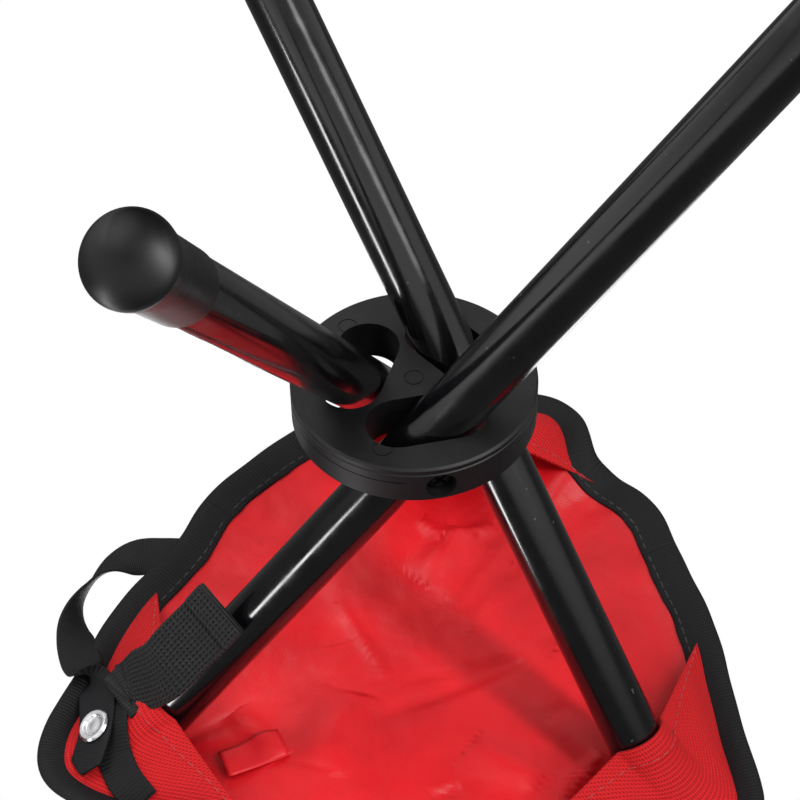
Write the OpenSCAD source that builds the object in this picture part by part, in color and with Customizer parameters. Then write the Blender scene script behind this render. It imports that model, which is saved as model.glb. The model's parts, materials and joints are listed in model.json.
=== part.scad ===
// Folding three-legged stool with a cloth seat.
// The legs cross in a round hub and each turns on a radial screw. Upright, feet on z = 0, hub axis on Z.

/* [Legs] */
// Outer diameter of the leg tubes
tube_d = 16; // [14:0.5:18]
// Wall thickness of the leg tubes
tube_wall = 1; // [0.8:0.1:1.5]
// Angle between each leg and the vertical when the stool is open
splay = 38.2; // [34:0.1:40]
// Distance from a leg's pivot down to the end of its foot cap
foot_reach = 200; // [160:1:240]
// Distance from a leg's pivot up to the end of its top plug
head_reach = 150; // [130:1:180]

/* [Hub] */
// Outer diameter of the hub
hub_d = 66; // [64:1:76]
// Hub thickness below the pivot screws
hub_below = 6.9; // [6.5:0.1:9]
// Hub thickness above the pivot screws
hub_above = 5.5; // [5:0.1:8]
// Thickness of the cover plate on the foot side
cover_t = 2.2; // [1.5:0.1:2.2]
// Distance from the hub axis to each leg's axis
pivot_r = 15.3; // [15.1:0.1:16]
// Diameter of the pivot screws
screw_d = 4; // [3:0.5:4]

/* [Feet] */
// Diameter of a foot cap at its domed end
cap_d = 20; // [19:0.5:24]
// Height of a foot cap's dome
cap_dome = 4.5; // [4:0.5:6]
// Length of a foot cap with its sleeve
cap_len = 36; // [25:1:50]

/* [Seat] */
// Distance from the hub axis to the rounded corners of the seat
corner_reach = 110; // [108:1:118]
// Distance from the hub axis to the middle of each seat edge
edge_reach = 85; // [80:1:90]
// Radius of the seat's corners
corner_r = 24; // [20:1:28]
// Thickness of the seat cloth
cloth_t = 0.8; // [0.6:0.1:1.2]
// Width of the edge binding
binding_w = 10; // [8:0.5:12]
// Width of the closure strap
strap_w = 11; // [9:0.5:13]
// Width of the webbing tab
tab_w = 15; // [12:0.5:18]

/* [Hidden] */
$fn = 96;
tiny = 0.01;

// Foot cap: the dome is part of a sphere, and the stool stands on it
cap_sphere = (pow(cap_d / 2, 2) + pow(cap_dome, 2)) / (2 * cap_dome);
pivot_h = (foot_reach - cap_sphere) * cos(splay) + cap_sphere;
tube_low = foot_reach - cap_dome - 2;
cap_mouth_d = tube_d + 1.4;
cap_neck_d = tube_d + 2.2;

// Top plug: a half ball on the upper end of the tube
plug_r = tube_d / 2 + 0.2;
tube_high = head_reach - plug_r;
plug_stem = 12;

// Seat: the cloth lies just above the plugs, its corners over the tops of the legs
seat_gap = 0.5;
seat_z = pivot_h + tube_high * cos(splay) + plug_r + seat_gap;
tip_r = norm([pivot_r, tube_high * sin(splay)]);
tip_lead = atan2(tube_high * sin(splay), pivot_r);
corner_centre = corner_reach - corner_r;
edge_offset = corner_centre / 2 - edge_reach;
edge_r = (pow(corner_r, 2) - pow(edge_offset, 2) - pow(corner_centre * sin(60), 2)) / (2 * (edge_offset + corner_r));
tangent_dir = [corner_centre + (edge_r - edge_reach) / 2, (edge_r - edge_reach) * sin(60)];
tangent_cos = tangent_dir[0] / norm(tangent_dir);
seam_gap = 0.1;
binding_t = 0.9;
cloth_inset = 1.2;

// Corner pockets
mouth_x = 68;
mouth_s = 119;
pocket_wall = 0.9;
pocket_drop = binding_t + 0.3;
leg_room = 0.45;

// Hub slots and screws
slot_r = tube_d / 2 + 0.4;
slot_reach = hub_below * tan(splay) + tube_d / 2 / cos(splay) - slot_r + 0.6;
bore_room = 0.05;
head_seat = hub_d / 2 - 4.4;
screw_tip = 3.4;
screw_head_d = 7;
mark_r = 26.5;
mark_d = 5.3;

// Azimuth of corner i, and of the pivot screw of the leg that reaches it
function corner_az(i) = 90 + 120 * i;
function screw_az(i) = corner_az(i) - tip_lead;

// Places a shape given in a leg's own frame: Z up the leg, X along its screw, origin at its pivot
module on_leg(i) {
    rotate([0, 0, screw_az(i)]) translate([pivot_r, 0, pivot_h]) rotate([-splay, 0, 0]) children();
}

// A shape that turns about the X axis instead of Z
module along_x() {
    rotate([0, 90, 0]) children();
}

module bevelled_disc(d, z0, z1, low, high) {
    rotate_extrude()
        polygon([[0, z0], [d / 2 - low, z0], [d / 2, z0 + low], [d / 2, z1 - high], [d / 2 - high, z1], [0, z1]]);
}

// Straight slot with round ends, long enough for a leg to swing between upright and open
module leg_slot() {
    deep = 4 * hub_below;
    for (side = [-1, 1]) translate([0, side * slot_reach, 0]) rotate([0, 0, 90]) cylinder(r = slot_r, h = deep, center = true);
    cube([2 * slot_r + 0.2, 2 * slot_reach, deep], center = true);
}

module leg_slots() {
    for (i = [0:2]) rotate([0, 0, screw_az(i)]) translate([pivot_r, 0, pivot_h]) leg_slot();
}

module cover_pins(d, z0, h) {
    for (i = [0:2]) rotate([0, 0, screw_az(i) + 60]) translate([mark_r, 0, z0]) cylinder(d = d, h = h);
}

module hub_body() {
    z0 = pivot_h - hub_below + cover_t;
    color([0.12, 0.12, 0.13]) difference() {
        bevelled_disc(hub_d, z0, pivot_h + hub_above, 0.3, 0.8);
        leg_slots();
        cover_pins(3.6, z0 - tiny, 3.2 + tiny);
        for (i = [0:2]) rotate([0, 0, screw_az(i)]) {
            translate([screw_tip - 0.6, 0, pivot_h]) along_x() cylinder(d = screw_d, h = hub_d / 2, $fn = 48);
            translate([head_seat, 0, pivot_h]) along_x() cylinder(d = screw_head_d + 1.2, h = 10, $fn = 48);
            // Parting line of the mould, between this screw and the next
            rotate([0, 0, 16]) rotate_extrude(angle = 62)
                translate([hub_d / 2 - 0.25, pivot_h - 1.9]) square([1, 0.3]);
        }
    }
}

module hub_cover() {
    z0 = pivot_h - hub_below;
    color([0.13, 0.13, 0.14]) difference() {
        union() {
            bevelled_disc(hub_d, z0, z0 + cover_t, 0.6, 0.3);
            cover_pins(3.6, z0 + cover_t - tiny, 3 + tiny);
        }
        leg_slots();
        // Round moulding marks on the lower face
        translate([0, 0, z0 - 1]) mark_ring();
        for (i = [0:2]) rotate([0, 0, screw_az(i) + 30]) translate([mark_r, 0, z0 - 1]) mark_ring();
    }
}

module mark_ring() {
    difference() {
        cylinder(d = mark_d, h = 1.25, $fn = 48);
        translate([0, 0, -tiny]) cylinder(d = mark_d - 0.6, h = 2, $fn = 48);
    }
}

module pivot_screw(i) {
    head_t = 2.2;
    color([0.07, 0.07, 0.08]) rotate([0, 0, screw_az(i)]) translate([0, 0, pivot_h]) along_x() difference() {
        union() {
            translate([0, 0, screw_tip]) cylinder(d = screw_d, h = head_seat - screw_tip + tiny, $fn = 48);
            translate([0, 0, head_seat]) rotate_extrude() polygon([
                [0, 0], [screw_head_d / 2, 0], [screw_head_d / 2, head_t * 0.45],
                [screw_head_d / 2 - 0.6, head_t * 0.85], [screw_head_d / 2 - 1.6, head_t], [0, head_t]]);
        }
        // Cross recess
        for (turn = [45, 135]) rotate([0, 0, turn])
            translate([-2.1, -0.45, head_seat + head_t - 1.2]) cube([4.2, 0.9, 2]);
    }
}

module leg_tube(i) {
    color([0.04, 0.04, 0.045]) on_leg(i) difference() {
        translate([0, 0, -tube_low]) cylinder(d = tube_d, h = tube_low + tube_high);
        translate([0, 0, -tube_low - 1]) cylinder(d = tube_d - 2 * tube_wall, h = tube_low + tube_high + 2);
        along_x() cylinder(d = screw_d + 2 * bore_room, h = 2 * tube_d, center = true, $fn = 48);
    }
}

module foot_cap(i) {
    low = -foot_reach + cap_dome;
    mouth = -foot_reach + cap_len;
    color([0.09, 0.09, 0.1]) on_leg(i) difference() {
        union() {
            rotate_extrude() polygon([
                [0, low], [cap_d / 2 - 0.4, low], [cap_d / 2, low + 0.8], [cap_d / 2 - 0.25, low + 2.5],
                [cap_neck_d / 2 + 0.25, low + 9], [cap_neck_d / 2, low + 13],
                [cap_mouth_d / 2 + 0.1, mouth - 0.6], [cap_mouth_d / 2 - 0.3, mouth], [0, mouth]]);
            intersection() {
                translate([0, 0, -foot_reach + cap_sphere]) sphere(r = cap_sphere);
                translate([0, 0, low + 0.2 - 10]) cylinder(d = cap_d - 0.8, h = 10);
            }
        }
        translate([0, 0, -tube_low]) cylinder(d = tube_d, h = foot_reach);
    }
}

module top_plug(i) {
    color([0.08, 0.08, 0.09]) on_leg(i) {
        intersection() {
            translate([0, 0, tube_high]) sphere(r = plug_r);
            translate([0, 0, tube_high]) cylinder(r = tube_d, h = tube_d);
        }
        translate([0, 0, tube_high - plug_stem]) cylinder(d = tube_d - 2 * tube_wall, h = plug_stem + tiny);
    }
}

// Outline of the seat: three bowed edges and three round corners, drawn in by inset
module seat_outline(inset) {
    difference() {
        intersection_for (i = [0:2])
            rotate(corner_az(i) + 60) translate([edge_reach - edge_r, 0]) circle(r = edge_r - inset, $fn = 180);
        for (i = [0:2]) rotate(corner_az(i))
            translate([corner_centre + (corner_r - inset) * tangent_cos, -60]) square([60, 120]);
    }
    for (i = [0:2]) rotate(corner_az(i)) translate([corner_centre, 0]) circle(r = corner_r - inset);
}

// Half of the seat sector at corner i, from its fold line to the middle of the next edge on that side
module half_sector(i, side) {
    far = 2 * corner_reach;
    rotate(corner_az(i)) mirror([0, side < 0 ? 1 : 0]) translate([0.2, seam_gap])
        polygon([[0, 0], [far, 0], [far * cos(60), far * sin(60) - 2 * seam_gap]]);
}

module seat_cloth(i, side) {
    color([0.78, 0.09, 0.11]) translate([0, 0, seat_z]) linear_extrude(cloth_t) intersection() {
        seat_outline(cloth_inset);
        half_sector(i, side);
    }
}

// Tape folded over the edge of the cloth
module edge_binding(i, side) {
    color([0.06, 0.06, 0.07]) difference() {
        translate([0, 0, seat_z - binding_t]) linear_extrude(cloth_t + 2 * binding_t) intersection() {
            difference() {
                seat_outline(0);
                seat_outline(binding_w);
            }
            half_sector(i, side);
        }
        translate([0, 0, seat_z]) linear_extrude(cloth_t) seat_outline(cloth_inset);
    }
}

// The corner of the seat outline beyond the pocket's mouth, pointing along +X
module corner_patch(inset, from) {
    intersection() {
        rotate(-corner_az(0)) seat_outline(inset);
        translate([from, -100]) square([100, 200]);
    }
}

// Cloth pocket that holds the top of a leg: open above, towards the cloth, and towards the hub
module corner_pocket(i) {
    top = seat_z - pocket_drop;
    color([0.72, 0.06, 0.08]) difference() {
        hull() {
            rotate([0, 0, corner_az(i)]) translate([0, 0, top - 0.6]) linear_extrude(0.6) corner_patch(0.6, mouth_x);
            on_leg(i) translate([0, 0, mouth_s]) cylinder(r = slot_r + pocket_wall + 0.2, h = 1, $fn = 32);
        }
        hull() {
            rotate([0, 0, corner_az(i)]) translate([0, 0, top - 0.6]) linear_extrude(4)
                corner_patch(0.6 + pocket_wall, mouth_x - 8);
            on_leg(i) translate([0, 0, mouth_s - 12]) cylinder(r = tube_d / 2 + leg_room, h = 13.4, $fn = 32);
        }
        on_leg(i) translate([0, 0, mouth_s - 12]) cylinder(r = tube_d / 2 + leg_room, h = 40);
    }
}

// A flat band along a route of points, with the direction across the band at each point
module ribbon(route, across, width, thickness) {
    last = len(route) - 1;
    function along(k) = route[min(k + 1, last)] - route[max(k - 1, 0)];
    function thick(k) = let (n = cross(along(k), across[k])) n / norm(n) * thickness / 2;
    function wide(k) = across[k] / norm(across[k]) * width / 2;
    rings = [for (k = [0:last]) each [route[k] + wide(k) + thick(k), route[k] - wide(k) + thick(k),
                                      route[k] - wide(k) - thick(k), route[k] + wide(k) - thick(k)]];
    sides = [for (k = [0:last - 1], j = [0:3]) let (a = 4 * k + j, b = 4 * k + (j + 1) % 4)
                 each [[a, b + 4, b], [a, a + 4, b + 4]]];
    polyhedron(points = rings, faces = concat(sides, [[0, 1, 2, 3], [4 * last + 3, 4 * last + 2, 4 * last + 1, 4 * last]]));
}

// The corner with the strap, and the sloping outer face of its pocket: x down the face to the mouth,
// y to the side and z out of the face
strap_corner = 2;
patch_slope = 48.9;
patch_x = 97;
patch_z = seat_z - 16;
function turn_z(a, p) = [p[0] * cos(a) - p[1] * sin(a), p[0] * sin(a) + p[1] * cos(a), p[2]];
function on_patch(p) = turn_z(corner_az(strap_corner), [
    patch_x - p[0] * cos(patch_slope) + p[2] * sin(patch_slope), p[1],
    patch_z - p[0] * sin(patch_slope) - p[2] * cos(patch_slope)]);
function patch_dir(p) = on_patch(p) - on_patch([0, 0, 0]);
function on_strap_leg(p) = turn_z(screw_az(strap_corner), [
    pivot_r + p[0], p[1] * cos(splay) + p[2] * sin(splay), pivot_h - p[1] * sin(splay) + p[2] * cos(splay)]);
function strap_leg_dir(p) = on_strap_leg(p) - on_strap_leg([0, 0, 0]);
module on_pocket() {
    rotate([0, 0, corner_az(strap_corner)]) translate([patch_x, 0, patch_z]) rotate([0, 180 - patch_slope, 0]) children();
}
snap_at = [-2.3, 4.2];
band_x = 13.5;

// Loose rectangle of cloth sewn under the seat beside the strap corner's pocket
module pocket_flap() {
    color([0.7, 0.07, 0.09]) rotate([0, 0, corner_az(strap_corner)])
        translate([52, -21, seat_z - 0.9]) cube([18, 10, 0.6]);
}

// Coarse webbing that hangs beside the leg from the pocket, with its end folded double
module webbing_tab() {
    face = 50;
    side_dir = strap_leg_dir([-sin(face), cos(face), 0]);
    color([0.07, 0.07, 0.075]) {
        ribbon([on_strap_leg([0.9, 11.6, 80]), on_strap_leg([0.9, 11.6, 96]), on_strap_leg([1.6, 12.4, 108]),
                on_patch([17, 8, 2.8]), on_patch([11, 8, 1.85])],
               [side_dir, side_dir, side_dir + 0.3 * patch_dir([0, 1, 0]), patch_dir([0, 1, 0]), patch_dir([0, 1, 0])],
               tab_w, 1.3);
        ribbon([on_strap_leg([1.85, 12.75, 80]), on_strap_leg([1.85, 12.75, 86])], [side_dir, side_dir], tab_w, 1.3);
    }
}

// Band sewn across the outside of the pocket, which the stud goes through
module strap_anchor() {
    color([0.06, 0.06, 0.07]) on_pocket() translate([band_x - strap_w / 2, -34, 0.25]) cube([strap_w, 56, 0.9]);
    color([0.06, 0.06, 0.07]) on_pocket() translate([snap_at[0] - 6, snap_at[1] - 5, 0.25]) cube([16, 10, 0.9]);
}

module snap_stud() {
    color([0.75, 0.76, 0.78]) on_pocket() translate([snap_at[0], snap_at[1], 1.15]) {
        cylinder(d = 7, h = 0.5, $fn = 48);
        cylinder(d = 3.4, h = 1.1, $fn = 48);
    }
}

// Tape that wraps round the folded legs: sewn to the seat edge, with a snap at its pointed end
module closure_strap() {
    lift = 3;
    color([0.07, 0.07, 0.08])
        ribbon([[79, 30.4, 277.2], [88, 25.5, 275.6], [97, 15.5, 272.8], [103, 2, 269], [104.5, -13, 265.5],
                [101, -25, 262.5], [95.5, -32.5, 261], on_patch([4.5, 12.5, lift + 0.5]), on_patch([-3, 3.5, lift]),
                on_patch([-10.5, -3.5, lift])],
               [[0.5, 0.75, 0.25], [0.46, 0.58, 0.6], [0.4, 0.3, 0.85], [0.36, 0.08, 0.93],
                [0.35, 0, 0.95], [0.2, 0.1, 0.95], [0.35, -0.1, 0.9],
                patch_dir([-0.75, 0.65, 0]), patch_dir([-0.7, 0.75, 0]), patch_dir([-0.7, 0.75, 0])],
               strap_w, 1);
}

module snap_cap() {
    base = 3.55;
    color([0.8, 0.81, 0.83]) on_pocket() translate([snap_at[0], snap_at[1], 0]) {
        translate([0, 0, base]) rotate_extrude() polygon([[0, 0], [4.8, 0], [4.8, 0.4], [4.3, 0.9], [2.6, 0.9], [2.2, 1.4], [0, 1.5]]);
        translate([0, 0, base - 0.9]) cylinder(d = 4.1, h = 0.9 + tiny, $fn = 48);
    }
}

hub_body();
hub_cover();
pivot_screw(0);  // pivot_screw_a
pivot_screw(1);  // pivot_screw_b
pivot_screw(2);  // pivot_screw_c
leg_tube(0);  // leg_tube_a
leg_tube(1);  // leg_tube_b
leg_tube(2);  // leg_tube_c
foot_cap(0);  // foot_cap_a
foot_cap(1);  // foot_cap_b
foot_cap(2);  // foot_cap_c
top_plug(0);  // top_plug_a
top_plug(1);  // top_plug_b
top_plug(2);  // top_plug_c
seat_cloth(0, 1);  // seat_cloth_a1
seat_cloth(0, -1);  // seat_cloth_a2
seat_cloth(1, 1);  // seat_cloth_b1
seat_cloth(1, -1);  // seat_cloth_b2
seat_cloth(2, 1);  // seat_cloth_c1
seat_cloth(2, -1);  // seat_cloth_c2
edge_binding(0, 1);  // edge_binding_a1
edge_binding(0, -1);  // edge_binding_a2
edge_binding(1, 1);  // edge_binding_b1
edge_binding(1, -1);  // edge_binding_b2
edge_binding(2, 1);  // edge_binding_c1
edge_binding(2, -1);  // edge_binding_c2
corner_pocket(0);  // corner_pocket_a
corner_pocket(1);  // corner_pocket_b
corner_pocket(2);  // corner_pocket_c
pocket_flap();
webbing_tab();
strap_anchor();
snap_stud();
closure_strap();
snap_cap();
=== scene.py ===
"""Folding three-legged stool: its looks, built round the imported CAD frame. Every length is in metres."""
import json
import math

import bmesh
import bpy
import numpy as np
from mathutils import Matrix

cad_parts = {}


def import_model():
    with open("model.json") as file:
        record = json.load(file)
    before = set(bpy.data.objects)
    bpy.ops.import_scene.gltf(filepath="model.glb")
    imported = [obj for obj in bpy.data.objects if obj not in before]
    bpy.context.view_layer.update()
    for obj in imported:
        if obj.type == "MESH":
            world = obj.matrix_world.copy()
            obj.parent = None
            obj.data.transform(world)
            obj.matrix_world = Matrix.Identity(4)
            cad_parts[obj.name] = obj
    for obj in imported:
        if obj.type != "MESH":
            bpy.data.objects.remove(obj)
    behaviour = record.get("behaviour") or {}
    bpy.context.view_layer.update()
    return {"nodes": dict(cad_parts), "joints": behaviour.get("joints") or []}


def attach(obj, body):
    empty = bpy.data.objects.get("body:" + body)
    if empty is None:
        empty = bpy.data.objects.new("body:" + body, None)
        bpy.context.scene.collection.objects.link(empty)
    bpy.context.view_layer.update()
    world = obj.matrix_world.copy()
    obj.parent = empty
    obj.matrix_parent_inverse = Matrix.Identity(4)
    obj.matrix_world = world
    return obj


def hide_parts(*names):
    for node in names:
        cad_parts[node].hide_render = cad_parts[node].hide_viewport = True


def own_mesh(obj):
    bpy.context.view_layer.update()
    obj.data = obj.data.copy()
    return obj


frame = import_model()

CORNERS = "abc"
UP = np.array([0.0, 0.0, 1.0])

# Seat outline, as in the CAD: round corners joined by bowed edges
CORNER_REACH, EDGE_REACH, CORNER_R = 0.110, 0.085, 0.024
CORNER_CENTRE = CORNER_REACH - CORNER_R
EDGE_OFFSET = CORNER_CENTRE / 2 - EDGE_REACH
EDGE_R = (CORNER_R ** 2 - EDGE_OFFSET ** 2 - 0.75 * CORNER_CENTRE ** 2) / (2 * (EDGE_OFFSET + CORNER_R))
THIRD = math.pi / 3

# How the cloth hangs: its rim droops below the leg tips, which lift it in three peaks
RIM_Z = 0.2632
DOME_H = 0.0065
PEAK_H = 0.0168
PEAK_SPREAD = 0.017
CLOTH_T = 0.0006
TAPE_W = 0.0098
TAPE_T = 0.0009

# Strap, webbing and pocket band
STRAP_W, STRAP_T = 0.0122, 0.0010
WEBBING_W = 0.0180
BAND_W = 0.0105

# Room and camera
ROOM_LIGHT = 0.12
FLOOR_HALF = 12.0
LENS_MM, SENSOR_MM = 100.26, 36
MOUTH_S = 0.1195

# Legs, read from the joints and the CAD boxes
JOINTS = {j["name"]: j for j in frame["joints"]}


def leg_frame(i):
    """Pivot point, and the directions up the leg, along its screw, and out of its under side."""
    joint = JOINTS[f"leg_{CORNERS[i]}_fold"]
    pivot, screw = np.array(joint["pos_m"]), np.array(joint["axis"])
    splay = math.radians(joint["range_deg"][1])
    lean = np.cross(UP, screw)
    return (pivot, math.sin(splay) * lean + math.cos(splay) * UP, screw,
            math.cos(splay) * lean - math.sin(splay) * UP)


def leg_span(i, node):
    """How far along leg i, from its pivot, a CAD node reaches, low and high."""
    pivot, up, _, _ = leg_frame(i)
    mesh = frame["nodes"][node].data
    along = [(np.array(v.co) - pivot) @ up for v in mesh.vertices]
    return min(along), max(along)


TUBE_R = 0.008
TUBE_LOW, TUBE_HIGH = leg_span(0, "leg_tube_a")
FOOT_END, SLEEVE_TOP = leg_span(0, "foot_cap_a")
TIPS = []
for leg in range(3):
    pivot_point, leg_up, _, _ = leg_frame(leg)
    TIPS.append((pivot_point + TUBE_HIGH * leg_up)[:2])


def corner_angle(i):
    return math.radians(90 + 120 * i)


def turned(i, x, y):
    """A point or offset given along and beside corner i's direction, in the row frame's x and y."""
    c, s = math.cos(corner_angle(i)), math.sin(corner_angle(i))
    return x * c - y * s, x * s + y * c


# ---------------------------------------------------------------- the cloth's shape

def outline(angle):
    """Distance from the hub axis to the seat's rim, by the angle from the nearest corner."""
    a = np.abs((np.asarray(angle) + THIRD) % (2 * THIRD) - THIRD)
    e = EDGE_REACH - EDGE_R
    to_corner = np.array([CORNER_CENTRE - e * 0.5, -e * math.sin(THIRD)])
    touch = np.array([CORNER_CENTRE, 0]) + CORNER_R * to_corner / np.linalg.norm(to_corner)
    off = CORNER_CENTRE * np.sin(a)
    near = CORNER_CENTRE * np.cos(a) + np.sqrt(np.maximum(CORNER_R ** 2 - off ** 2, 0))
    far = e * np.cos(a - THIRD) + np.sqrt(EDGE_R ** 2 - (e * np.sin(a - THIRD)) ** 2)
    return np.where(a < math.atan2(touch[1], touch[0]), near, far)


def smooth(t):
    t = np.clip(t, 0, 1)
    return t * t * (3 - 2 * t)


def bump(a, centre, width):
    """A single soft bump at an angle in degrees."""
    d = (np.degrees(a) - centre + 180) % 360 - 180
    return np.exp(-(d / width) ** 2)


# Where the rim leaves its even shape, read from the photo: azimuth and half width in degrees, and by how much
RISES = ((118, 5, -0.0042), (128, 6, 0.0030), (345, 7, 0.0016))
REACHES = ((114, 4, 0.0022), (121.5, 3, -0.0018), (323.5, 12, 0.0095), (109, 6, 0.0060), (138, 12, 0.0030),
           (208, 10, 0.0070), (14, 14, -0.0040))


def rim_height(az):
    """The rim isn't level: the tape ripples, and kinks where the cloth pulls at it."""
    z = RIM_Z + 0.0005 * np.sin(6 * az + 0.4) + 0.00018 * np.sin(17 * az + 2.0)
    z = z + 0.00008 * np.sin(29 * az + 1.0)
    return z + sum(by * bump(az, centre, width) for centre, width, by in RISES)


def rim_reach(az):
    """Rim distance with the tape's slight in and out ripple."""
    r = outline(az - math.pi / 2) + 0.00025 * np.sin(13 * az + 0.7) + 0.0001 * np.sin(31 * az)
    return r + sum(by * bump(az, centre, width) for centre, width, by in REACHES)


# Creases pressed into the cloth: both ends in x and y, half width, height
FOLDS = (
    (0.0094, -0.0284, -0.0324, -0.0001, 0.0034, 0.0021),
    (0.0034, -0.0137, -0.0315, -0.0003, 0.0024, 0.0012),
    (0.0266, 0.0147, 0.0074, -0.0131, 0.0020, -0.0011),
    (0.0032, 0.0260, -0.0093, 0.0472, 0.0060, -0.0038),
    (0.0066, 0.0511, -0.0021, 0.0434, 0.0025, -0.0018),
    (-0.0021, 0.0434, -0.0188, 0.0501, 0.0030, -0.0022),
    (-0.0463, -0.0502, -0.0587, -0.0296, 0.0022, -0.0020),
    (-0.0597, 0.0273, -0.0755, 0.0254, 0.0024, 0.0014),
    (-0.0112, -0.0547, -0.0195, -0.0492, 0.0022, 0.0014),
    (0.0516, -0.0287, 0.0332, -0.0460, 0.0040, -0.0028),
    (-0.0387, -0.0211, -0.0476, -0.0152, 0.0020, 0.0013),
    (0.0245, -0.0487, 0.0170, -0.0195, 0.0090, -0.0036),
    (-0.0276, 0.0352, -0.0367, 0.0741, 0.0060, 0.0022),
    (-0.0175, 0.0140, -0.0428, 0.0057, 0.0080, 0.0026),
    (-0.0511, 0.0546, -0.0678, 0.0403, 0.0050, -0.0022),
    (0.0405, 0.0265, 0.0263, -0.0031, 0.0080, 0.0022),
    (0.0510, 0.0501, 0.0575, 0.0325, 0.0050, 0.0018),
    (-0.0200, -0.0339, -0.0415, -0.0450, 0.0070, -0.0028),
)


def cloth_height(x, y):
    """Height of the seat cloth's middle surface."""
    az, r = np.arctan2(y, x), np.hypot(x, y)
    q = np.minimum(r / rim_reach(az), 1.0)
    fade = 1 - smooth((q - 0.83) / 0.17)
    z = rim_height(az) * q ** 2 + RIM_Z * (1 - q ** 2) + DOME_H * (1 - q ** 2)
    soft, inner = smooth(q / 0.25), 1 - smooth((q - 0.62) / 0.27)
    for k, (tx, ty) in enumerate(TIPS):
        dx, dy = x - tx, y - ty
        d, turn = np.hypot(dx, dy), np.arctan2(dy, dx)
        z = z + fade * PEAK_H / (1 + (d / PEAK_SPREAD) ** 2)
        # Creases that run out from the tip of the leg
        reach = smooth((d - 0.010) / 0.012) * np.exp(-d / 0.045) * inner
        z = z + reach * (0.0016 * np.sin(7 * turn + 1.3 * k) + 0.0008 * np.sin(13 * turn + 2.1 * k + 40 * d))
    z = z + soft * inner * (0.0006 * np.sin(70 * x + 45 * y) + 0.0004 * np.sin(110 * y - 60 * x + 1.0))
    for ax, ay, bx, by, width, height in FOLDS:
        t = np.clip(((x - ax) * (bx - ax) + (y - ay) * (by - ay)) / ((bx - ax) ** 2 + (by - ay) ** 2), 0, 1)
        off = np.hypot(x - ax - t * (bx - ax), y - ay - t * (by - ay))
        z = z + inner * height * np.exp(-(off / width) ** 2) * np.sin(math.pi * t) ** 0.5
    return z


def cloth_normal(x, y):
    h = 2e-4
    gx = (cloth_height(x + h, y) - cloth_height(x - h, y)) / (2 * h)
    gy = (cloth_height(x, y + h) - cloth_height(x, y - h)) / (2 * h)
    n = np.stack([-gx, -gy, np.ones_like(gx)], -1)
    return n / np.linalg.norm(n, axis=-1, keepdims=True)


def rim_point(az):
    r = rim_reach(az)
    return np.stack([r * np.cos(az), r * np.sin(az)], -1)


def rim_frame(az, inset):
    """Points a distance inside the rim, square to it, in x and y."""
    h = 1e-3
    p, along = rim_point(az), rim_point(az + h) - rim_point(az - h)
    along = along / np.linalg.norm(along, axis=-1, keepdims=True)
    inward = np.stack([-along[..., 1], along[..., 0]], -1)
    return p + np.asarray(inset)[..., None] * inward


# ---------------------------------------------------------------- mesh helpers

def make_piece(name, verts, faces, materials, uv=None, face_material=None):
    """A smooth-shaded closed mesh, with doubled points merged and normals facing out."""
    mesh = bpy.data.meshes.new(name)
    mesh.from_pydata([tuple(map(float, v)) for v in verts], [], [tuple(map(int, f)) for f in faces])
    for m in materials:
        mesh.materials.append(m)
    if face_material is not None:
        mesh.polygons.foreach_set("material_index", np.asarray(face_material, np.int32))
    if uv is not None:
        layer = mesh.uv_layers.new(name="UVMap")
        corners = np.zeros(len(mesh.loops), np.int32)
        mesh.loops.foreach_get("vertex_index", corners)
        layer.data.foreach_set("uv", np.asarray(uv, np.float32)[corners].ravel())
    bm = bmesh.new()
    bm.from_mesh(mesh)
    bmesh.ops.remove_doubles(bm, verts=bm.verts, dist=2e-7)
    bmesh.ops.dissolve_degenerate(bm, edges=bm.edges, dist=1e-7)
    bmesh.ops.recalc_face_normals(bm, faces=bm.faces)
    bm.to_mesh(mesh)
    bm.free()
    mesh.polygons.foreach_set("use_smooth", [True] * len(mesh.polygons))
    piece = bpy.data.objects.new(name, mesh)
    bpy.context.scene.collection.objects.link(piece)
    return piece


def sharpen(piece, degrees=40):
    piece.data.set_sharp_from_angle(angle=math.radians(degrees))
    return piece


def grid_faces(rows, cols, start=0, flip=False, wrap=False):
    faces = []
    for i in range(rows - 1):
        for j in range(cols if wrap else cols - 1):
            k = (j + 1) % cols
            here, next_row = start + i * cols, start + (i + 1) * cols
            f = [here + j, here + k, next_row + k, next_row + j]
            faces.append(f[::-1] if flip else f)
    return faces


def grid_normals(points):
    du, dv = np.gradient(points, axis=0), np.gradient(points, axis=1)
    n = np.cross(du, dv)
    return n / np.maximum(np.linalg.norm(n, axis=-1, keepdims=True), 1e-12)


def shell(name, points, normals, thickness, materials, uv):
    """A closed sheet round a grid of points. materials is (the side the normals face, the other side)."""
    rows, cols = points.shape[:2]
    half = np.broadcast_to(np.asarray(thickness, float) / 2, (rows, cols))[..., None]
    outer, inner = points + normals * half, points - normals * half
    verts = np.concatenate([outer.reshape(-1, 3), inner.reshape(-1, 3)])
    n = rows * cols
    faces = grid_faces(rows, cols) + grid_faces(rows, cols, n, flip=True)
    side = [0] * ((rows - 1) * (cols - 1)) + [1] * ((rows - 1) * (cols - 1))
    ring = ([(0, j) for j in range(cols - 1)] + [(i, cols - 1) for i in range(rows - 1)]
            + [(rows - 1, j) for j in range(cols - 1, 0, -1)] + [(i, 0) for i in range(rows - 1, 0, -1)])
    for k, (i, j) in enumerate(ring):
        i2, j2 = ring[(k + 1) % len(ring)]
        a, b = i * cols + j, i2 * cols + j2
        faces.append([b, a, a + n, b + n])
        side.append(0)
    return make_piece(name, verts, faces, materials, np.concatenate([uv.reshape(-1, 2)] * 2), side)


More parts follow.
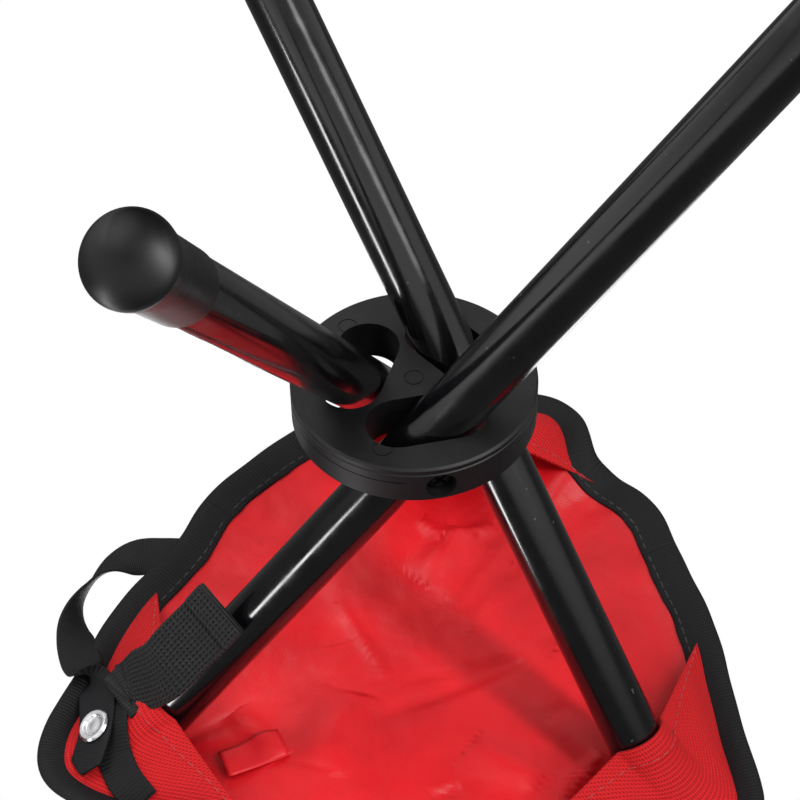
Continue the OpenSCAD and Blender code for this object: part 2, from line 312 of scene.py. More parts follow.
def sweep(name, sections, materials, uv=None):
    """A closed solid through a row of closed cross sections."""
    rows, cols = sections.shape[:2]
    faces = grid_faces(rows, cols, wrap=True)
    faces += [list(range(cols))[::-1], [(rows - 1) * cols + j for j in range(cols)]]
    flat_uv = None if uv is None else uv.reshape(-1, 2)
    return make_piece(name, sections.reshape(-1, 3), faces, materials, flat_uv)


def lathe(name, profile, i, materials, around=72):
    """A solid of revolution about leg i, from (distance up the leg, radius) pairs, axis to axis."""
    pivot, up, screw, under = leg_frame(i)
    turn = np.linspace(0, 2 * math.pi, around, endpoint=False)
    ring = np.cos(turn)[:, None] * screw + np.sin(turn)[:, None] * under
    rows = np.array([[pivot + s * up + max(r, 1e-9) * d for d in ring] for s, r in profile])
    s = np.array([[p[0]] * around for p in profile])
    uv = np.stack([s, np.broadcast_to(turn * TUBE_R, s.shape)], -1)
    faces = grid_faces(len(profile), around, wrap=True)
    return make_piece(name, rows.reshape(-1, 3), faces, materials, uv.reshape(-1, 2))


def round_profile(points, radius, steps=5):
    """Rounds the inner points of a profile with short arcs."""
    out = [points[0]]
    for a, b, c in zip(points, points[1:], points[2:]):
        a, b, c = map(np.array, (a, b, c))
        to_a, to_c = np.linalg.norm(a - b), np.linalg.norm(c - b)
        r = min(radius, to_a * 0.45, to_c * 0.45)
        start, end = b + (a - b) / max(to_a, 1e-9) * r, b + (c - b) / max(to_c, 1e-9) * r
        for t in np.linspace(0, 1, steps):
            out.append(tuple((1 - t) ** 2 * start + 2 * t * (1 - t) * b + t * t * end))
    return out + [points[-1]]


def spline(points, steps=12):
    """A smooth curve through the points."""
    p = np.array(points, float)
    p = np.concatenate([[2 * p[0] - p[1]], p, [2 * p[-1] - p[-2]]])
    out = []
    for k in range(1, len(p) - 2):
        for t in np.linspace(0, 1, steps, endpoint=False):
            out.append(0.5 * (2 * p[k] + (p[k + 1] - p[k - 1]) * t
                              + (2 * p[k - 1] - 5 * p[k] + 4 * p[k + 1] - p[k + 2]) * t ** 2
                              + (3 * p[k] - p[k - 1] - 3 * p[k + 1] + p[k + 2]) * t ** 3))
    return np.array(out + [p[-2]])


def tape(name, route, across, width, thickness, material, steps=12, point_end=0.0):
    """A flat woven tape. across is the direction over its width; point_end tapers its last stretch."""
    p, a = spline(route, steps), spline(across, steps)
    along = np.gradient(p, axis=0)
    along /= np.linalg.norm(along, axis=1, keepdims=True)
    a = a - (a * along).sum(1, keepdims=True) * along
    a /= np.linalg.norm(a, axis=1, keepdims=True)
    n = np.cross(along, a)
    s = np.concatenate([[0], np.cumsum(np.linalg.norm(np.diff(p, axis=0), axis=1))])
    w = np.full(len(p), width / 2)
    if point_end:
        w = width / 2 * np.clip((s[-1] - s) / point_end + 0.06, 0.06, 1)
    # Rounded edges and a shallow hollow along the middle
    cross = [(-1, 0), (-0.97, 0.42), (-0.88, 0.5), (-0.5, 0.47), (0, 0.45),
             (0.5, 0.47), (0.88, 0.5), (0.97, 0.42)]
    cross += [(-x, -h) for x, h in cross]
    sections = np.array([[p[k] + a[k] * x * w[k] + n[k] * h * thickness for x, h in cross]
                         for k in range(len(p))])
    uv = np.array([[(s[k], x * w[k]) for x, _ in cross] for k in range(len(p))])
    return sweep(name, sections, [material], uv)


def stitches(name, path, normals, material, length=0.0026, gap=0.0010, radius=0.00022):
    """A row of separate thread stitches that lie along a path."""
    s = np.concatenate([[0], np.cumsum(np.linalg.norm(np.diff(path, axis=0), axis=1))])
    verts, faces = [], []
    shape = [(-0.5, 0.05), (-0.42, 0.75), (0, 1), (0.42, 0.75), (0.5, 0.05)]
    around = 6
    for start in np.arange(gap, s[-1] - length, length + gap):
        ends = [np.array([np.interp(t, s, path[:, c]) for c in range(3)]) for t in (start, start + length)]
        mid, along = (ends[0] + ends[1]) / 2, ends[1] - ends[0]
        n = np.array([np.interp(start + length / 2, s, normals[:, c]) for c in range(3)])
        n /= np.linalg.norm(n)
        side = np.cross(along, n)
        side /= np.linalg.norm(side)
        base = len(verts)
        for f, r in shape:
            for t in np.linspace(0, 2 * math.pi, around, endpoint=False):
                verts.append(mid + along * f + radius * r * (math.cos(t) * side + 0.8 * math.sin(t) * n))
        faces += grid_faces(len(shape), around, base, wrap=True)
        last = base + (len(shape) - 1) * around
        faces += [[base + j for j in range(around)][::-1], [last + j for j in range(around)]]
    return make_piece(name, verts, faces, [material])


# ---------------------------------------------------------------- materials

class Shader:
    """A material with a Principled shader and short calls for its nodes."""

    def __init__(self, name, **sockets):
        self.material = bpy.data.materials.new(name)
        self.material.use_nodes = True
        self.tree = self.material.node_tree
        self.out = self.tree.nodes["Principled BSDF"]
        self.height = None
        for key, value in sockets.items():
            self.out.inputs[key.replace("_", " ")].default_value = value

    def node(self, kind, links=(), **values):
        n = self.tree.nodes.new(kind)
        for key, value in values.items():
            if key in n.inputs:
                n.inputs[key].default_value = value
            else:
                setattr(n, key, value)
        for key, source in dict(links).items():
            self.tree.links.new(source, n.inputs[key])
        return n

    def place(self, uv=False, scale=(1, 1, 1)):
        coords = self.node("ShaderNodeTexCoord").outputs["UV" if uv else "Object"]
        return self.node("ShaderNodeMapping", {"Vector": coords}, Scale=scale).outputs[0]

    def noise(self, at, scale, detail=3.0, rough=0.5):
        return self.node("ShaderNodeTexNoise", {"Vector": at}, Scale=scale, Detail=detail,
                         Roughness=rough).outputs[0]

    def wave(self, at, period, direction="X", distort=0.0, detail_scale=1.0):
        return self.node("ShaderNodeTexWave", {"Vector": at}, Scale=2 * math.pi / 20 / period,
                         Distortion=distort, wave_type="BANDS", bands_direction=direction,
                         **{"Detail Scale": detail_scale}).outputs[1]

    def maths(self, kind, a, b=0.5):
        n = self.tree.nodes.new("ShaderNodeMath")
        n.operation = kind
        for slot, value in ((0, a), (1, b)):
            if isinstance(value, (int, float)):
                n.inputs[slot].default_value = value
            else:
                self.tree.links.new(value, n.inputs[slot])
        return n.outputs[0]

    def ramp(self, source, low, high, start=0.3, end=0.7):
        n = self.node("ShaderNodeValToRGB", {"Fac": source})
        n.color_ramp.elements[0].position, n.color_ramp.elements[1].position = start, end
        n.color_ramp.elements[0].color, n.color_ramp.elements[1].color = (*low, 1), (*high, 1)
        return n.outputs[0]

    def level(self, source, low, high):
        return self.node("ShaderNodeMapRange", {"Value": source},
                         **{"From Min": 0.3, "From Max": 0.7, "To Min": low, "To Max": high}).outputs[0]

    def colour(self, source):
        self.tree.links.new(source, self.out.inputs["Base Color"])

    def roughness(self, source):
        self.tree.links.new(source, self.out.inputs["Roughness"])

    def bump(self, source, strength, distance):
        n = self.node("ShaderNodeBump", {"Height": source}, Strength=strength, Distance=distance)
        if self.height:
            self.tree.links.new(self.height, n.inputs["Normal"])
        self.height = n.outputs[0]
        self.tree.links.new(self.height, self.out.inputs["Normal"])
        return self


def woven(shader, at, period, over=0.6):
    """Height of a plain weave: two sets of threads, each seen where it goes over the other."""
    warp, weft = shader.wave(at, period, "X"), shader.wave(at, period * over, "Y")
    return shader.maths("MAXIMUM", warp, weft)


def cloth_coated():
    s = Shader("cloth_coated", Roughness=0.42, Specular_IOR_Level=0.28)
    at = s.place()
    broad = s.noise(at, 28, 4)
    s.colour(s.ramp(broad, (0.44, 0.0035, 0.007), (0.66, 0.0085, 0.014), 0.3, 0.72))
    s.roughness(s.level(s.noise(at, 90, 4), 0.36, 0.52))
    s.bump(s.noise(at, 24, 3, 0.5), 0.7, 0.007)
    s.bump(s.noise(at, 70, 5, 0.55), 0.4, 0.0016)
    high = woven(s, s.place(uv=True), 0.0009)
    return s.bump(high, 0.10, 0.0002).material


def cloth_woven(name):
    s = Shader(name, Roughness=0.72, Specular_IOR_Level=0.2, Sheen_Weight=0.04, Sheen_Roughness=0.4,
               Sheen_Tint=(1.0, 0.35, 0.35, 1))
    at = s.place(uv=True)
    high = woven(s, at, 0.0014, 0.62)
    broad = s.noise(s.place(), 35)
    # Colour: darker in the hollows of the weave and lighter on the threads that lie over, painted shade and
    # painted highlight, mixed with a broad random change of tone
    s.colour(s.ramp(s.maths("ADD", s.maths("MULTIPLY", high, 0.6), s.maths("MULTIPLY", broad, 0.4)),
                    (0.26, 0.0022, 0.004), (0.50, 0.0065, 0.009), 0.3, 0.8))
    s.bump(s.noise(s.place(), 60, 4), 0.25, 0.0012)
    return s.bump(high, 0.55, 0.0004).material


def tape_ribbed(name, period, base, sheen, rough=0.7, cross=0.35):
    s = Shader(name, Roughness=rough, Specular_IOR_Level=0.25, Sheen_Weight=sheen, Sheen_Roughness=0.35,
               Sheen_Tint=(0.9, 0.92, 1.0, 1))
    at = s.place(uv=True)
    ribs, threads = s.wave(at, period, "X", 0.4, 2.0), s.wave(at, period * cross, "Y", 0.3)
    high = s.maths("MULTIPLY", ribs, s.maths("ADD", s.maths("MULTIPLY", threads, 0.5), 0.6))
    # Colour follows the ribs' height: painted shade in the grooves between the ribs and a painted highlight on
    # their crests
    dark, light = tuple(0.5 * c for c in base), tuple(1.8 * c for c in base)
    s.colour(s.ramp(high, dark, light, 0.1, 0.9))
    s.bump(s.noise(s.place(), 120, 3), 0.2, 0.0008)
    return s.bump(high, 0.4, 0.0004).material


def webbing_coarse():
    s = Shader("webbing_coarse", Roughness=0.62, Specular_IOR_Level=0.3, Sheen_Weight=0.03,
               Sheen_Roughness=0.4)
    at = s.place(uv=True)
    a, b = s.wave(at, 0.0017, "X", 0.6, 2.0), s.wave(at, 0.0013, "Y", 0.4, 2.0)
    high = s.maths("MULTIPLY", s.maths("POWER", a, 0.7), s.maths("POWER", b, 0.7))
    # Colour follows the weave's height: painted shade in its hollows and a painted highlight on the raised threads
    s.colour(s.ramp(high, (0.0008, 0.0008, 0.0011), (0.009, 0.009, 0.011), 0.15, 0.95))
    s.roughness(s.level(s.noise(s.place(), 300), 0.5, 0.72))
    return s.bump(high, 0.9, 0.0007).material


def moulded(name, base, rough, grain, strength, wear):
    """Moulded plastic with a fine sparked grain and faint scuffs."""
    s = Shader(name, Roughness=rough, Specular_IOR_Level=0.35)
    at = s.place()
    scuff = s.noise(at, 160, 6, 0.7)
    s.colour(s.ramp(scuff, base, tuple(min(1, c + wear) for c in base), 0.45, 0.85))
    s.roughness(s.level(s.noise(at, 70, 5), rough - 0.06, rough + 0.08))
    s.bump(s.noise(at, grain, 2), strength, 0.00012)
    return s.bump(s.noise(at, 45, 2), 0.08, 0.0006).material


def gloss_paint():
    s = Shader("gloss_paint", Roughness=0.16, Specular_IOR_Level=0.5, Coat_Weight=0.35, Coat_Roughness=0.08)
    at = s.place()
    specks = s.maths("GREATER_THAN", s.noise(at, 420, 1), 0.79)
    base = s.ramp(s.noise(at, 40, 4), (0.0012, 0.0012, 0.0017), (0.0025, 0.0025, 0.0032))
    mix = s.node("ShaderNodeMix", data_type="RGBA")
    s.tree.links.new(specks, mix.inputs[0])
    s.tree.links.new(base, mix.inputs[6])
    mix.inputs[7].default_value = (0.05, 0.05, 0.05, 1)
    s.colour(mix.outputs[2])
    s.roughness(s.level(s.noise(at, 130, 5, 0.6), 0.12, 0.24))
    return s.bump(s.noise(at, 260, 2), 0.05, 0.0003).material


def metal(name, base, rough, scratch):
    s = Shader(name, Metallic=1.0, Roughness=rough)
    at = s.place()
    s.colour(s.ramp(s.noise(at, 500, 4), tuple(0.8 * c for c in base), base, 0.3, 0.6))
    s.roughness(s.level(s.noise(at, 900, 3), rough - 0.05, rough + scratch))
    return s.bump(s.noise(s.place(scale=(1, 8, 1)), 600, 3), 0.08, 0.0002).material


def thread(name, base):
    s = Shader(name, Roughness=0.6, Sheen_Weight=0.2)
    at = s.place()
    s.colour(s.ramp(s.noise(at, 1500, 2), tuple(0.6 * c for c in base), base))
    return s.bump(s.wave(at, 0.0004, "DIAGONAL"), 0.5, 0.0001).material


COATED, WOVEN, POCKET = cloth_coated(), cloth_woven("cloth_woven"), cloth_woven("pocket_woven")
BINDING = tape_ribbed("binding_tape", 0.0011, (0.0022, 0.0022, 0.003), 0.015)
STRAP = tape_ribbed("strap_tape", 0.0007, (0.0025, 0.0025, 0.0035), 0.02, 0.6)
WEBBING = webbing_coarse()
HUB = moulded("hub_plastic", (0.0035, 0.0035, 0.0042), 0.44, 2600, 0.30, 0.004)
COVER = moulded("cover_plastic", (0.0030, 0.0030, 0.0036), 0.46, 2600, 0.30, 0.004)
CAP = moulded("cap_rubber", (0.0035, 0.0035, 0.0042), 0.40, 3200, 0.12, 0.003)
PLUG = moulded("plug_plastic", (0.009, 0.009, 0.010), 0.4, 2600, 0.2, 0.006)
PAINT = gloss_paint()
SCREW = metal("screw_steel", (0.035, 0.035, 0.04), 0.38, 0.15)
SNAP = metal("snap_nickel", (0.80, 0.80, 0.82), 0.2, 0.15)
BLACK_THREAD = thread("black_thread", (0.005, 0.005, 0.006))
RED_THREAD = thread("red_thread", (0.42, 0.010, 0.016))


# ---------------------------------------------------------------- seat, binding and pockets

def seat_span(i, side, samples=56):
    """Azimuths across a half sector, closer together near the corner."""
    t = np.linspace(0, 1, samples) ** 1.25
    return corner_angle(i) + side * THIRD * t


def shade_as_cloth(piece):
    """Normals from the cloth's own slope, so that the panels meet without a line."""
    mesh = piece.data
    co = np.array([v.co for v in mesh.vertices])
    n = cloth_normal(co[:, 0], co[:, 1])
    below = co[:, 2] < cloth_height(co[:, 0], co[:, 1])
    n[below] *= -1
    mesh.normals_split_custom_set_from_vertices([tuple(v) for v in n])


def seat_panel(i, side):
    key = f"{CORNERS[i]}{1 if side > 0 else 2}"
    az = seat_span(i, side)
    q = np.concatenate([np.linspace(0, 0.7, 34, endpoint=False), np.linspace(0.7, 1, 34)])
    rim = rim_frame(az, np.full(len(az), 0.0012))
    x, y = q[:, None] * rim[None, :, 0], q[:, None] * rim[None, :, 1]
    points = np.stack([x, y, cloth_height(x, y)], -1)
    n = cloth_normal(x, y)
    uv = np.stack(turned(-i, x, y), -1)
    faces = (WOVEN, COATED)
    piece = shell(f"seat_cloth_{key}_sheet", points, n, CLOTH_T, faces, uv)
    shade_as_cloth(piece)
    return key, piece


def tape_section():
    """Cross section of the folded tape: distance in from the rim, and height off the cloth."""
    h, w = CLOTH_T / 2 + TAPE_T, TAPE_W
    top = [(w, h * 0.72), (w * 0.95, h * 0.98), (w * 0.80, h * 0.90), (w * 0.55, h * 1.10), (w * 0.25, h * 1.16),
           (0.0002, h * 0.98), (-0.0009, h * 0.45)]
    under = [(x, -z) for x, z in top[::-1]]
    inside = [(w, -CLOTH_T * 0.6), (0.0030, -CLOTH_T * 0.55), (0.0030, CLOTH_T * 0.55), (w, CLOTH_T * 0.6)]
    return top + [(-0.0011, 0.0)] + under + inside


def edge_tape(i, side):
    key = f"{CORNERS[i]}{1 if side > 0 else 2}"
    az, section = seat_span(i, side, 110), tape_section()
    s = np.concatenate([[0], np.cumsum(np.linalg.norm(np.diff(rim_point(az), axis=0), axis=1))])
    wobble = 0.0002 * np.sin(az * 23 + 1.0) + 0.00012 * np.sin(az * 47)
    rows, uv = [], []
    for inset, h in section:
        stretch = wobble * (inset > 0.004) * (abs(h) > CLOTH_T)
        p = rim_frame(az, np.full(len(az), inset) + stretch)
        n = cloth_normal(p[:, 0], p[:, 1])
        flat = np.stack([p[:, 0], p[:, 1], cloth_height(p[:, 0], p[:, 1])], -1)
        rows.append(flat + n * h)
        uv.append(np.stack([s, np.full(len(s), inset if h >= 0 else -inset)], -1))
    piece = sweep(f"edge_binding_{key}_tape", np.stack(rows, 1), [BINDING], np.stack(uv, 1))
    sewn = []
    for h in (CLOTH_T / 2 + TAPE_T * 0.93, -CLOTH_T / 2 - TAPE_T * 0.93):
        p = rim_frame(az, np.full(len(az), TAPE_W * 0.82))
        n = cloth_normal(p[:, 0], p[:, 1])
        path = np.stack([p[:, 0], p[:, 1], cloth_height(p[:, 0], p[:, 1])], -1) + n * h
        sewn.append(stitches(f"binding_stitches_{key}_{'top' if h > 0 else 'under'}", path, n, BLACK_THREAD))
    return piece, sewn


def pocket_surface(i, rows=44, cols=121):
    """Grid of the pocket's cloth: row 0 along the rim, the last row along the mouth, which wraps the leg."""
    pivot, up, screw, under = leg_frame(i)
    v = np.linspace(-1, 1, cols)
    span = 0.62  # of a radian, the azimuth at which the mouth meets the rim
    az = corner_angle(i) + v * span
    rim = rim_frame(az, np.full(cols, 0.0058))
    start = np.stack([rim[:, 0], rim[:, 1], cloth_height(rim[:, 0], rim[:, 1]) - 0.0007], -1)
    # Mouth: straight from each edge of the seat to the tube, and round its under side
    ends = []
    for end in (0, -1):
        x, y = rim_frame(az[end:][:1] if end else az[:1], np.array([0.0058]))[0]
        ends.append(np.array([x, y, float(cloth_height(x, y)) - 0.0009]))
    axis_point, r, hug = pivot + MOUTH_S * up, TUBE_R + 0.0009, 0.17
    mouth = np.zeros((cols, 3))
    for k, t in enumerate(v):
        turn = np.clip(t / hug, -1, 1) * math.radians(72)
        # v rises with azimuth, which is against the screw's direction on this side
        touch = axis_point + r * (math.cos(turn) * under - math.sin(turn) * screw)
        f = smooth_line((abs(t) - hug) / (1 - hug))
        mouth[k] = touch + (ends[0 if t < 0 else 1] - touch) * f
    u = np.linspace(0, 1, rows)[:, None, None]
    points = (1 - u) * start[None] + u * mouth[None]
    # The leg's tip presses the cloth out into a soft ridge, and the loose sides hang a little
    uu, vv = np.linspace(0, 1, rows)[:, None], v[None]
    ridge = np.exp(-(vv / 0.22) ** 2) * np.sin(math.pi * uu ** 0.8)
    sag = np.exp(-((np.abs(vv) - 0.55) / 0.25) ** 2) * np.sin(math.pi * uu)
    crease = np.sin(math.pi * uu) * np.sin(9 * vv + 3 * uu + i) * (1 - np.abs(vv) ** 4)
    points[..., 2] += 0.0026 * ridge - 0.0014 * sag + 0.0006 * crease
    return points


def smooth_line(t):
    return float(np.clip(t, 0, 1))


POCKETS = [pocket_surface(i) for i in range(3)]


def on_pocket(i, u, v, lift=0.0):
    """A point on pocket i's outer face, u from the rim to the mouth and v across, and its normal."""
    grid = POCKETS[i]
    n = -outward(grid)
    rows, cols = grid.shape[:2]
    a, b = np.clip(u, 0, 1) * (rows - 1), (np.clip(v, -1, 1) + 1) / 2 * (cols - 1)
    r, c = min(int(a), rows - 2), min(int(b), cols - 2)
    fa, fb = a - r, b - c
    weights = (((r, c), (1 - fa) * (1 - fb)), ((r + 1, c), fa * (1 - fb)),
               ((r, c + 1), (1 - fa) * fb), ((r + 1, c + 1), fa * fb))
    p = sum(w * grid[k] for k, w in weights)
    m = sum(w * n[k] for k, w in weights)
    m = m / np.linalg.norm(m)
    return p + lift * m, m


def outward(grid):
    """Normals of a pocket grid that face the leg, so the other side is the outer face."""
    n = grid_normals(grid)
    return n if n[len(n) // 2, n.shape[1] // 2, 2] > 0 else -n


def corner_pocket(i):
    grid = POCKETS[i]
    rows, cols = grid.shape[:2]
    n = -outward(grid)
    u = np.linspace(0, 1, rows)[:, None]
    hem = smooth((u - 0.80) / 0.03)
    thick = CLOTH_T * (1 + 1.1 * hem) * np.ones((rows, cols))
    step = np.linalg.norm(np.diff(grid, axis=1), axis=-1)
    across = np.concatenate([np.zeros((rows, 1)), np.cumsum(step, 1)], 1)
    down = np.concatenate([np.zeros((1, cols)), np.cumsum(np.linalg.norm(np.diff(grid, axis=0), axis=-1), 0)])
    uv = np.stack([down, across - across[:, cols // 2:cols // 2 + 1]], -1)
    piece = shell(f"corner_pocket_{CORNERS[i]}_cloth", grid, n, thick, (POCKET, COATED), uv)
    row = int(0.84 * (rows - 1))
    path = grid[row, 4:-4] + n[row, 4:-4] * CLOTH_T * 1.15
    return piece, stitches(f"pocket_stitches_{CORNERS[i]}", path, n[row, 4:-4], RED_THREAD, radius=0.0002)


for corner in range(3):
    for side in (1, -1):
        key, panel = seat_panel(corner, side)
        binding, sewn = edge_tape(corner, side)
        body = f"seat_{key}"
        for part in (panel, binding, *sewn):
            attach(part, body)
        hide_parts(f"seat_cloth_{key}")
        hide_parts(f"edge_binding_{key}")

for corner in range(3):
    name = CORNERS[corner]
    pocket, seam = corner_pocket(corner)
    for part, slot in ((pocket, "pocket_fabric"), (seam, "pocket_fabric")):
        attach(part, f"leg_{name}")
        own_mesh(part)
    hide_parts(f"corner_pocket_{name}")


# ---------------------------------------------------------------- legs, caps and plugs

def leg_pieces(i):
    name = CORNERS[i]
    wall = 0.001
    tube = lathe(f"leg_tube_{name}_paint", [(TUBE_LOW, 0), *round_profile([
        (TUBE_LOW, TUBE_R - wall), (TUBE_LOW, TUBE_R), (TUBE_HIGH, TUBE_R), (TUBE_HIGH, TUBE_R - wall)], 0.0003),
        (TUBE_HIGH, 0)], i, [PAINT])
    mouth, neck, cap_r = TUBE_R + 0.00045, TUBE_R + 0.0006, 0.010
    low = FOOT_END + 0.0045
    sphere_r = (cap_r ** 2 + 0.0045 ** 2) / (2 * 0.0045)
    dome = [(FOOT_END + sphere_r - math.sqrt(sphere_r ** 2 - r ** 2), r)
            for r in np.linspace(0, cap_r - 0.0006, 12)]
    cap = lathe(f"foot_cap_{name}_rubber", dome + round_profile([
        (low - 0.0003, cap_r - 0.0004), (low + 0.0004, cap_r), (low + 0.0025, cap_r - 0.0003),
        (low + 0.009, neck + 0.0002), (low + 0.013, neck), (SLEEVE_TOP - 0.0009, mouth),
        (SLEEVE_TOP, mouth - 0.0003), (SLEEVE_TOP, TUBE_R + 0.00002)],
        0.0006) + [(SLEEVE_TOP - 0.0010, TUBE_R - 0.0002), (SLEEVE_TOP - 0.0010, 0)], i, [CAP])
    for part, node, slot in ((tube, "leg_tube", "tube_paint"), (cap, "foot_cap", "cap_rubber")):
        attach(part, f"leg_{name}")
        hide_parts(f"{node}_{name}")
        sharpen(part, 35)


for corner in range(3):
    leg_pieces(corner)

for node_name, node in frame["nodes"].items():
    look = {"hub_body": HUB, "hub_cover": COVER}.get(node_name)
    if node_name.startswith("pivot_screw"):
        look = SCREW
    elif node_name.startswith("top_plug"):
        look = PLUG
    if look:
        node.data.materials.clear()
        node.data.materials.append(look)


# ---------------------------------------------------------------- strap, webbing, snap and flap

STRAP_CORNER = 2
SNAP_UV = (0.42, 0.02)
STRAP_LEG, STRAP_UP, STRAP_SCREW, STRAP_UNDER = leg_frame(STRAP_CORNER)


def beside_leg(x, y, s):
    """A point by the strap corner's leg: x along the screw, y out of its under side, s up the leg."""
    return STRAP_LEG + x * STRAP_SCREW + y * STRAP_UNDER + s * STRAP_UP


def corner_point(x, y, z):
    return np.array([*turned(STRAP_CORNER, x, y), z])


def strap_and_snap():
    at, n = on_pocket(STRAP_CORNER, *SNAP_UV, 0.0022)
    tip, _ = on_pocket(STRAP_CORNER, SNAP_UV[0] - 0.34, SNAP_UV[1] - 0.22, 0.0024)
    up_strap, _ = on_pocket(STRAP_CORNER, SNAP_UV[0] - 0.22, SNAP_UV[1] + 0.28, 0.0034)
    run = tip - at
    flat = np.cross(n, run)
    flat /= np.linalg.norm(flat)
    route = [(0.0758, 0.0222, 0.2664), (0.0830, 0.0222, 0.2673), (0.0900, 0.0214, 0.2680),
             (0.0968, 0.0178, 0.2680), (0.1017, 0.0114, 0.2675), (0.1040, 0.0033, 0.2670),
             (0.1037, -0.0065, 0.2655), (0.1014, -0.0162, 0.2635), (0.0967, -0.0268, 0.2610)]
    across = [(-0.25, 0.9, -0.3), (-0.25, 0.9, -0.3), (-0.25, 0.9, -0.3), (-0.1, 0.9, 0.2), (0.05, 0.75, 0.6),
              (0.08, 0.7, 0.7), (-0.15, 0.75, 0.6), (-0.45, 0.75, 0.4), (-0.65, 0.65, 0.15)]
    route += [tuple(up_strap), tuple(at), tuple(tip)]
    across += [tuple(flat if flat[1] > 0 else -flat)] * 3
    strap = tape("closure_strap_tape", route, across, STRAP_W, STRAP_T, STRAP, point_end=0.0042)
    return strap, at, n


def disc(name, centre, normal, profile, material, around=40):
    """A solid of revolution about a normal, from (radius, height) pairs that start and end on the axis."""
    n = normal / np.linalg.norm(normal)
    a = np.cross(n, UP)
    a /= np.linalg.norm(a)
    b = np.cross(n, a)
    turn = np.linspace(0, 2 * math.pi, around, endpoint=False)
    ring = np.cos(turn)[:, None] * a + np.sin(turn)[:, None] * b
    rows = np.array([[centre + h * n + max(r, 1e-9) * d for d in ring] for r, h in profile])
    return make_piece(name, rows.reshape(-1, 3), grid_faces(len(profile), around, wrap=True), [material])


def soft_extras():
    strap, at, n = strap_and_snap()
    domed = [(0.0048, -0.0003), (0.0053, 0.0004), (0.0046, 0.0013), (0.0033, 0.0012), (0.0027, 0.0004),
             (0.0012, 0.0004)]
    cap_profile = [(0, -0.0003)] + round_profile(domed, 0.0003) + [(0, 0.0007)]
    cap = disc("snap_cap_metal", at + n * 0.0007, n, cap_profile, SNAP)
    stud_at, _ = on_pocket(STRAP_CORNER, *SNAP_UV, 0.0006)
    stud = disc("snap_stud_metal", stud_at, n, [(0, 0.0)] + round_profile(
        [(0.0034, 0.0), (0.0034, 0.0004), (0.0016, 0.0005), (0.0016, 0.0010)], 0.0001) + [(0, 0.0010)], SNAP)
    # Band sewn across the pocket
    band_uv = [(0.50, 0.42), (0.56, 0.27), (0.60, 0.12), (0.58, 0.0), (0.50, -0.10), (0.40, -0.20),
               (0.25, -0.34), (0.07, -0.48)]
    band_pts = [on_pocket(STRAP_CORNER, u, v, 0.0009) for u, v in band_uv]
    band_along = np.gradient([p[0] for p in band_pts], axis=0)
    band_across = [np.cross(b[1], band_along[k]) for k, b in enumerate(band_pts)]
    band = tape("strap_anchor_band", [b[0] for b in band_pts], [a / np.linalg.norm(a) for a in band_across],
                BAND_W, 0.0009, BINDING, steps=6)
    # Webbing that comes out from under the strap and hangs beside the leg, its end folded double
    side_dir = -math.sin(math.radians(50)) * STRAP_SCREW + math.cos(math.radians(50)) * STRAP_UNDER
    root, _ = on_pocket(STRAP_CORNER, 0.82, 0.08, 0.0030)
    root2, _ = on_pocket(STRAP_CORNER, 0.64, 0.08, 0.0022)
    lateral = corner_point(0, 1, 0) - corner_point(0, 0, 0)
    way = [beside_leg(0.0012, 0.0122, 0.079), beside_leg(0.0009, 0.0120, 0.088), beside_leg(0.0012, 0.0128, 0.099),
           beside_leg(0.0016, 0.0134, 0.110), root, root2]
    turning = side_dir + 0.3 * lateral
    tab = tape("webbing_tab_strip", way, [side_dir, side_dir, side_dir, turning, lateral, lateral],
               WEBBING_W, 0.0014, WEBBING, steps=8)
    fold_n = np.cross(side_dir, STRAP_UP)
    fold_n = fold_n if fold_n @ STRAP_UNDER > 0 else -fold_n
    fold = tape("webbing_fold_strip", [way[0] + fold_n * 0.0013, way[0] + fold_n * 0.0014 + STRAP_UP * 0.003,
                                       way[0] + fold_n * 0.0013 + STRAP_UP * 0.0068],
                [side_dir] * 3, WEBBING_W, 0.0013, WEBBING, steps=6)
    # Loose rectangle of cloth under the seat
    gx, gy = np.meshgrid(np.linspace(0.050, 0.0685, 14), np.linspace(-0.0235, -0.0135, 9), indexing="ij")
    wx, wy = turned(STRAP_CORNER, gx, gy)
    gz = cloth_height(wx, wy) - 0.0012 - 0.0016 * ((gx - 0.050) / 0.0185) ** 2 - 0.0004 * np.sin(300 * gy)
    grid = np.stack([wx, wy, gz], -1)
    flap = shell("pocket_flap_cloth", grid, -outward(grid), CLOTH_T, (COATED, COATED), np.stack([gx, gy], -1))
    return strap, cap, stud, band, tab, fold, flap


strap, snap_cap, snap_stud, band, tab, fold, flap = soft_extras()
EXTRAS = (
    (strap, "seat_c1", "closure_strap", "strap_tape"),
    (snap_cap, "seat_c1", "snap_cap", "snap_metal"),
    (snap_stud, "leg_c", "snap_stud", "snap_metal"),
    (band, "leg_c", "strap_anchor", "binding_tape"),
    (tab, "leg_c", "webbing_tab", "webbing"),
    (fold, "leg_c", None, "webbing"),
    (flap, "seat_c2", "pocket_flap", "seat_fabric"),
)
for part, body, node, slot in EXTRAS:
    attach(part, body)
    if node:
        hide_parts(node)
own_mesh(band)


# ---------------------------------------------------------------- room, light and camera

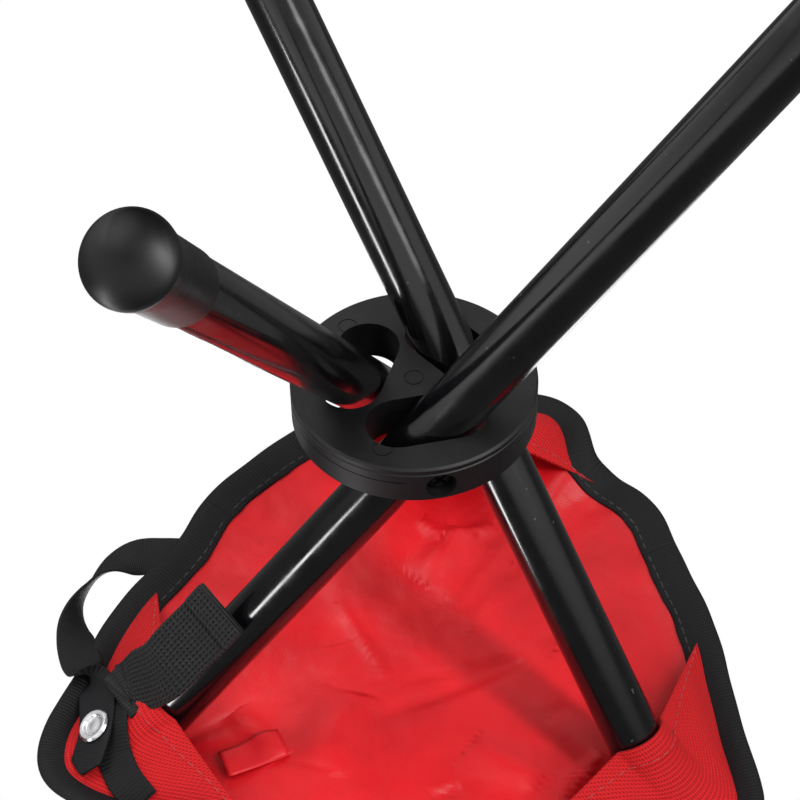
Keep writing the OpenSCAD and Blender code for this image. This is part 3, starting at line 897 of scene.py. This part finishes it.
def floor():
    """A pale floor that is clear from below, so the stool can be seen from its foot side."""
    size = FLOOR_HALF
    mesh = bpy.data.meshes.new("floor")
    outline_points = [(-size, -size, 0), (size, -size, 0), (size, size, 0), (-size, size, 0)]
    mesh.from_pydata(outline_points, [], [(0, 1, 2, 3)])
    material = bpy.data.materials.new("floor_pale")
    material.use_nodes = True
    tree = material.node_tree
    pale = tree.nodes["Principled BSDF"]
    pale.inputs["Roughness"].default_value = 0.85
    pale.inputs["Base Color"].default_value = (0.86, 0.86, 0.86, 1)
    clear, mix = tree.nodes.new("ShaderNodeBsdfTransparent"), tree.nodes.new("ShaderNodeMixShader")
    facing = tree.nodes.new("ShaderNodeNewGeometry")
    tree.links.new(facing.outputs["Backfacing"], mix.inputs[0])
    tree.links.new(pale.outputs[0], mix.inputs[1])
    tree.links.new(clear.outputs[0], mix.inputs[2])
    tree.links.new(mix.outputs[0], tree.nodes["Material Output"].inputs["Surface"])
    mesh.materials.append(material)
    obj = bpy.data.objects.new("floor", mesh)
    obj.visible_shadow = False
    bpy.context.scene.collection.objects.link(obj)


def pose(right, up, back, place):
    """An object's matrix from its three axes and its place."""
    return Matrix([[*r] for r in np.column_stack([right, up, back, place])] + [[0, 0, 0, 1]])


def area_light(name, place, target, size, power):
    data = bpy.data.lights.new(name, "AREA")
    data.shape, data.size, data.size_y, data.energy = "RECTANGLE", size[0], size[1], power
    obj = bpy.data.objects.new(name, data)
    bpy.context.scene.collection.objects.link(obj)
    place, target = np.array(place, float), np.array(target, float)
    back = (place - target) / np.linalg.norm(place - target)
    right = np.cross(UP if abs(back[2]) < 0.95 else np.array([0, 1.0, 0]), back)
    right /= np.linalg.norm(right)
    obj.matrix_world = pose(right, np.cross(back, right), back, place)


def camera():
    data = bpy.data.cameras.new("camera")
    data.lens, data.sensor_width = LENS_MM, SENSOR_MM
    obj = bpy.data.objects.new("camera", data)
    right, up = (-0.990434, 0.137323, 0.0135), (0.090717, 0.721747, -0.686186)
    back = (-0.103973, -0.678397, -0.727301)
    place = (-0.058319, -0.405626, -0.272501)
    obj.matrix_world = pose(right, up, back, place)
    bpy.context.scene.collection.objects.link(obj)
    bpy.context.scene.camera = obj


def world():
    """White behind the stool, and a dimmer room for everything it lights and mirrors."""
    bpy.context.scene.world = bpy.context.scene.world or bpy.data.worlds.new("world")
    w = bpy.context.scene.world
    w.use_nodes = True
    tree = w.node_tree
    room = tree.nodes["Background"]
    room.inputs[0].default_value = (1, 1, 1, 1)
    room.inputs[1].default_value = ROOM_LIGHT
    seen = tree.nodes.new("ShaderNodeBackground")
    seen.inputs[0].default_value = (1, 1, 1, 1)
    seen.inputs[1].default_value = 1.0
    ray, mix = tree.nodes.new("ShaderNodeLightPath"), tree.nodes.new("ShaderNodeMixShader")
    tree.links.new(ray.outputs["Is Camera Ray"], mix.inputs[0])
    tree.links.new(room.outputs[0], mix.inputs[1])
    tree.links.new(seen.outputs[0], mix.inputs[2])
    tree.links.new(mix.outputs[0], tree.nodes["World Output"].inputs["Surface"])


floor()
camera()
world()
area_light("key", (-0.55, -0.35, -0.55), (0, 0, 0.15), (0.10, 0.7), 8.0)
area_light("low", (0.45, 0.10, -0.55), (0, 0, 0.2), (0.4, 0.4), 3.6)
area_light("fill", (0.6, -0.6, 0.5), (0, 0, 0.15), (0.12, 0.7), 4.0)
area_light("top", (0.1, 0.3, 2.5), (0, 0, 0.2), (2.4, 2.4), 58.0)
bpy.context.scene.view_settings.view_transform = "Standard"
